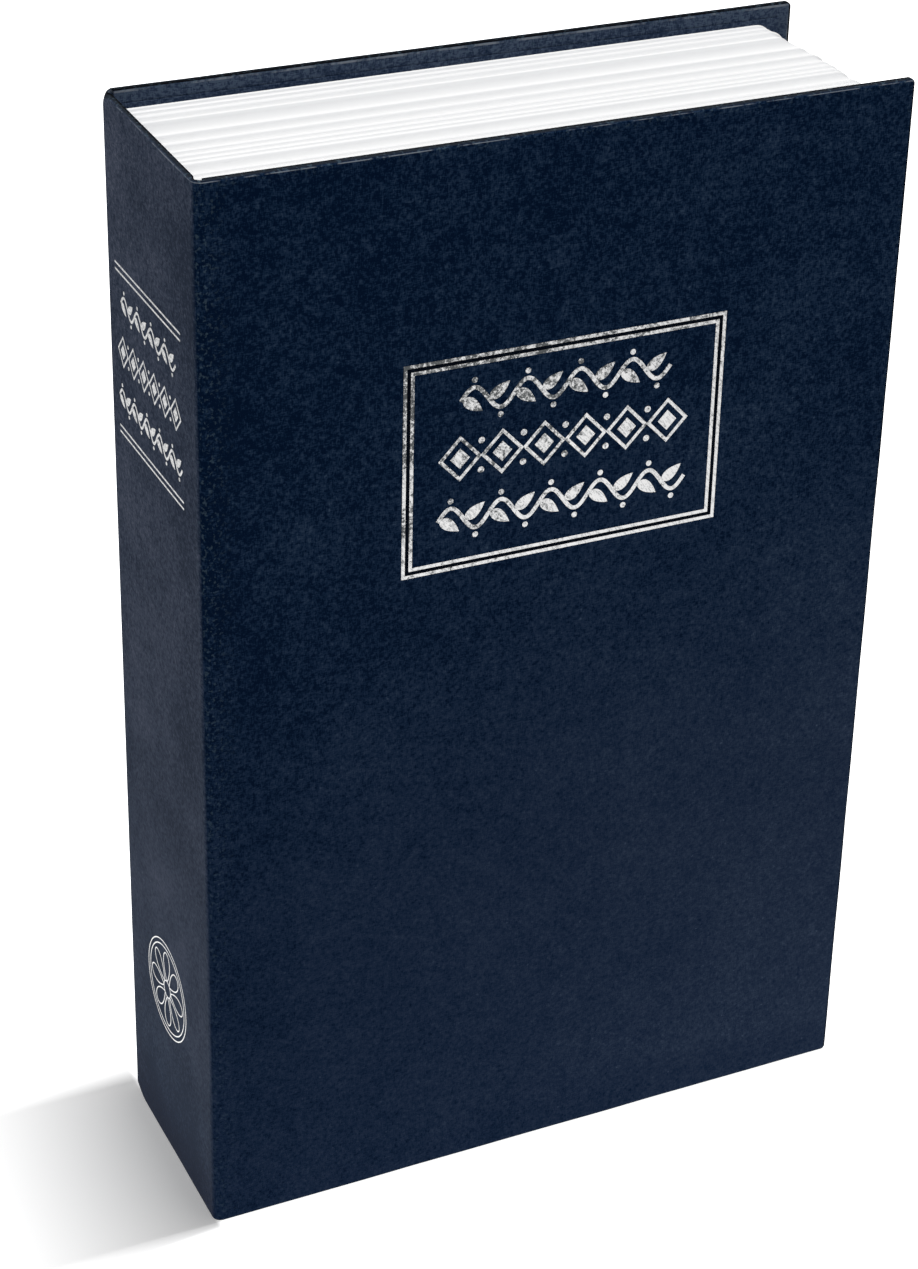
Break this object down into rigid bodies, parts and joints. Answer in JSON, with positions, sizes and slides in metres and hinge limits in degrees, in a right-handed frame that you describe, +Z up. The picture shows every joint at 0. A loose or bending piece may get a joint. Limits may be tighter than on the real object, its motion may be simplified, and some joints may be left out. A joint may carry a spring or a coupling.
{
  "type": "book diversion safe",
  "caption": "Hardback-book shaped safe: hinged case round a fluted page block that hides a steel box with a hinged lid and a cam lock.",
  "frame": {"origin": "the middle of the closed book's footprint, on the surface it stands on", "axes": "+X from the spine to the fore edge, +Y from the front cover to the back cover, +Z up along the book's height"},
  "size_m": [0.152, 0.0516, 0.24],
  "materials": {
    "case_covering": "satin",
    "greyboard": "matte",
    "endpaper": "matte",
    "page_block": "satin",
    "painted_steel": "matte",
    "plated_steel": "satin",
    "lock_chrome": "gloss",
    "silver_foil": "satin"
  },
  "bodies": {
    "book_body": {"spine_board": "greyboard", "spine_covering": "case_covering", "back_board": "greyboard", "back_covering": "case_covering", "back_endpaper": "endpaper", "page_frame": "page_block", "box_tub": "painted_steel", "hinge_leaf_tub": "plated_steel", "hinge_pin": "plated_steel", "tub_rivet_1": "plated_steel", "tub_rivet_2": "plated_steel", "tub_rivet_3": "plated_steel", "tub_rivet_4": "plated_steel"},
    "front_cover": {"front_board": "greyboard", "front_covering": "case_covering", "front_endpaper": "endpaper"},
    "box_lid": {"box_lid": "painted_steel", "hinge_leaf_lid": "plated_steel", "lid_rivet_1": "plated_steel", "lid_rivet_2": "plated_steel", "lid_rivet_3": "plated_steel", "lid_rivet_4": "plated_steel", "lock_body": "lock_chrome", "lock_nut": "plated_steel"},
    "lock_plug": {"lock_plug": "lock_chrome", "stop_washer": "plated_steel", "lock_cam": "plated_steel", "cam_screw": "plated_steel"}
  },
  "joints": [
    {"name": "cover_hinge", "type": "hinge", "parent": "book_body", "child": "front_cover", "pos_m": [-0.07385, -0.02575, 0.12], "axis": [0, 0, -1], "range_deg": [0, 180]},
    {"name": "lid_hinge", "type": "hinge", "parent": "book_body", "child": "box_lid", "pos_m": [-0.0573, -0.02005, 0.12], "axis": [0, 0, -1], "range_deg": [0, 100]},
    {"name": "lock_turn", "type": "hinge", "parent": "box_lid", "child": "lock_plug", "pos_m": [0.0318, -0.0141, 0.12], "axis": [0, -1, 0], "range_deg": [0, 90]}
  ],
  "couplings": [
    {"joint": "lid_hinge", "follows": "cover_hinge", "ratio": 0.55}
  ]
}
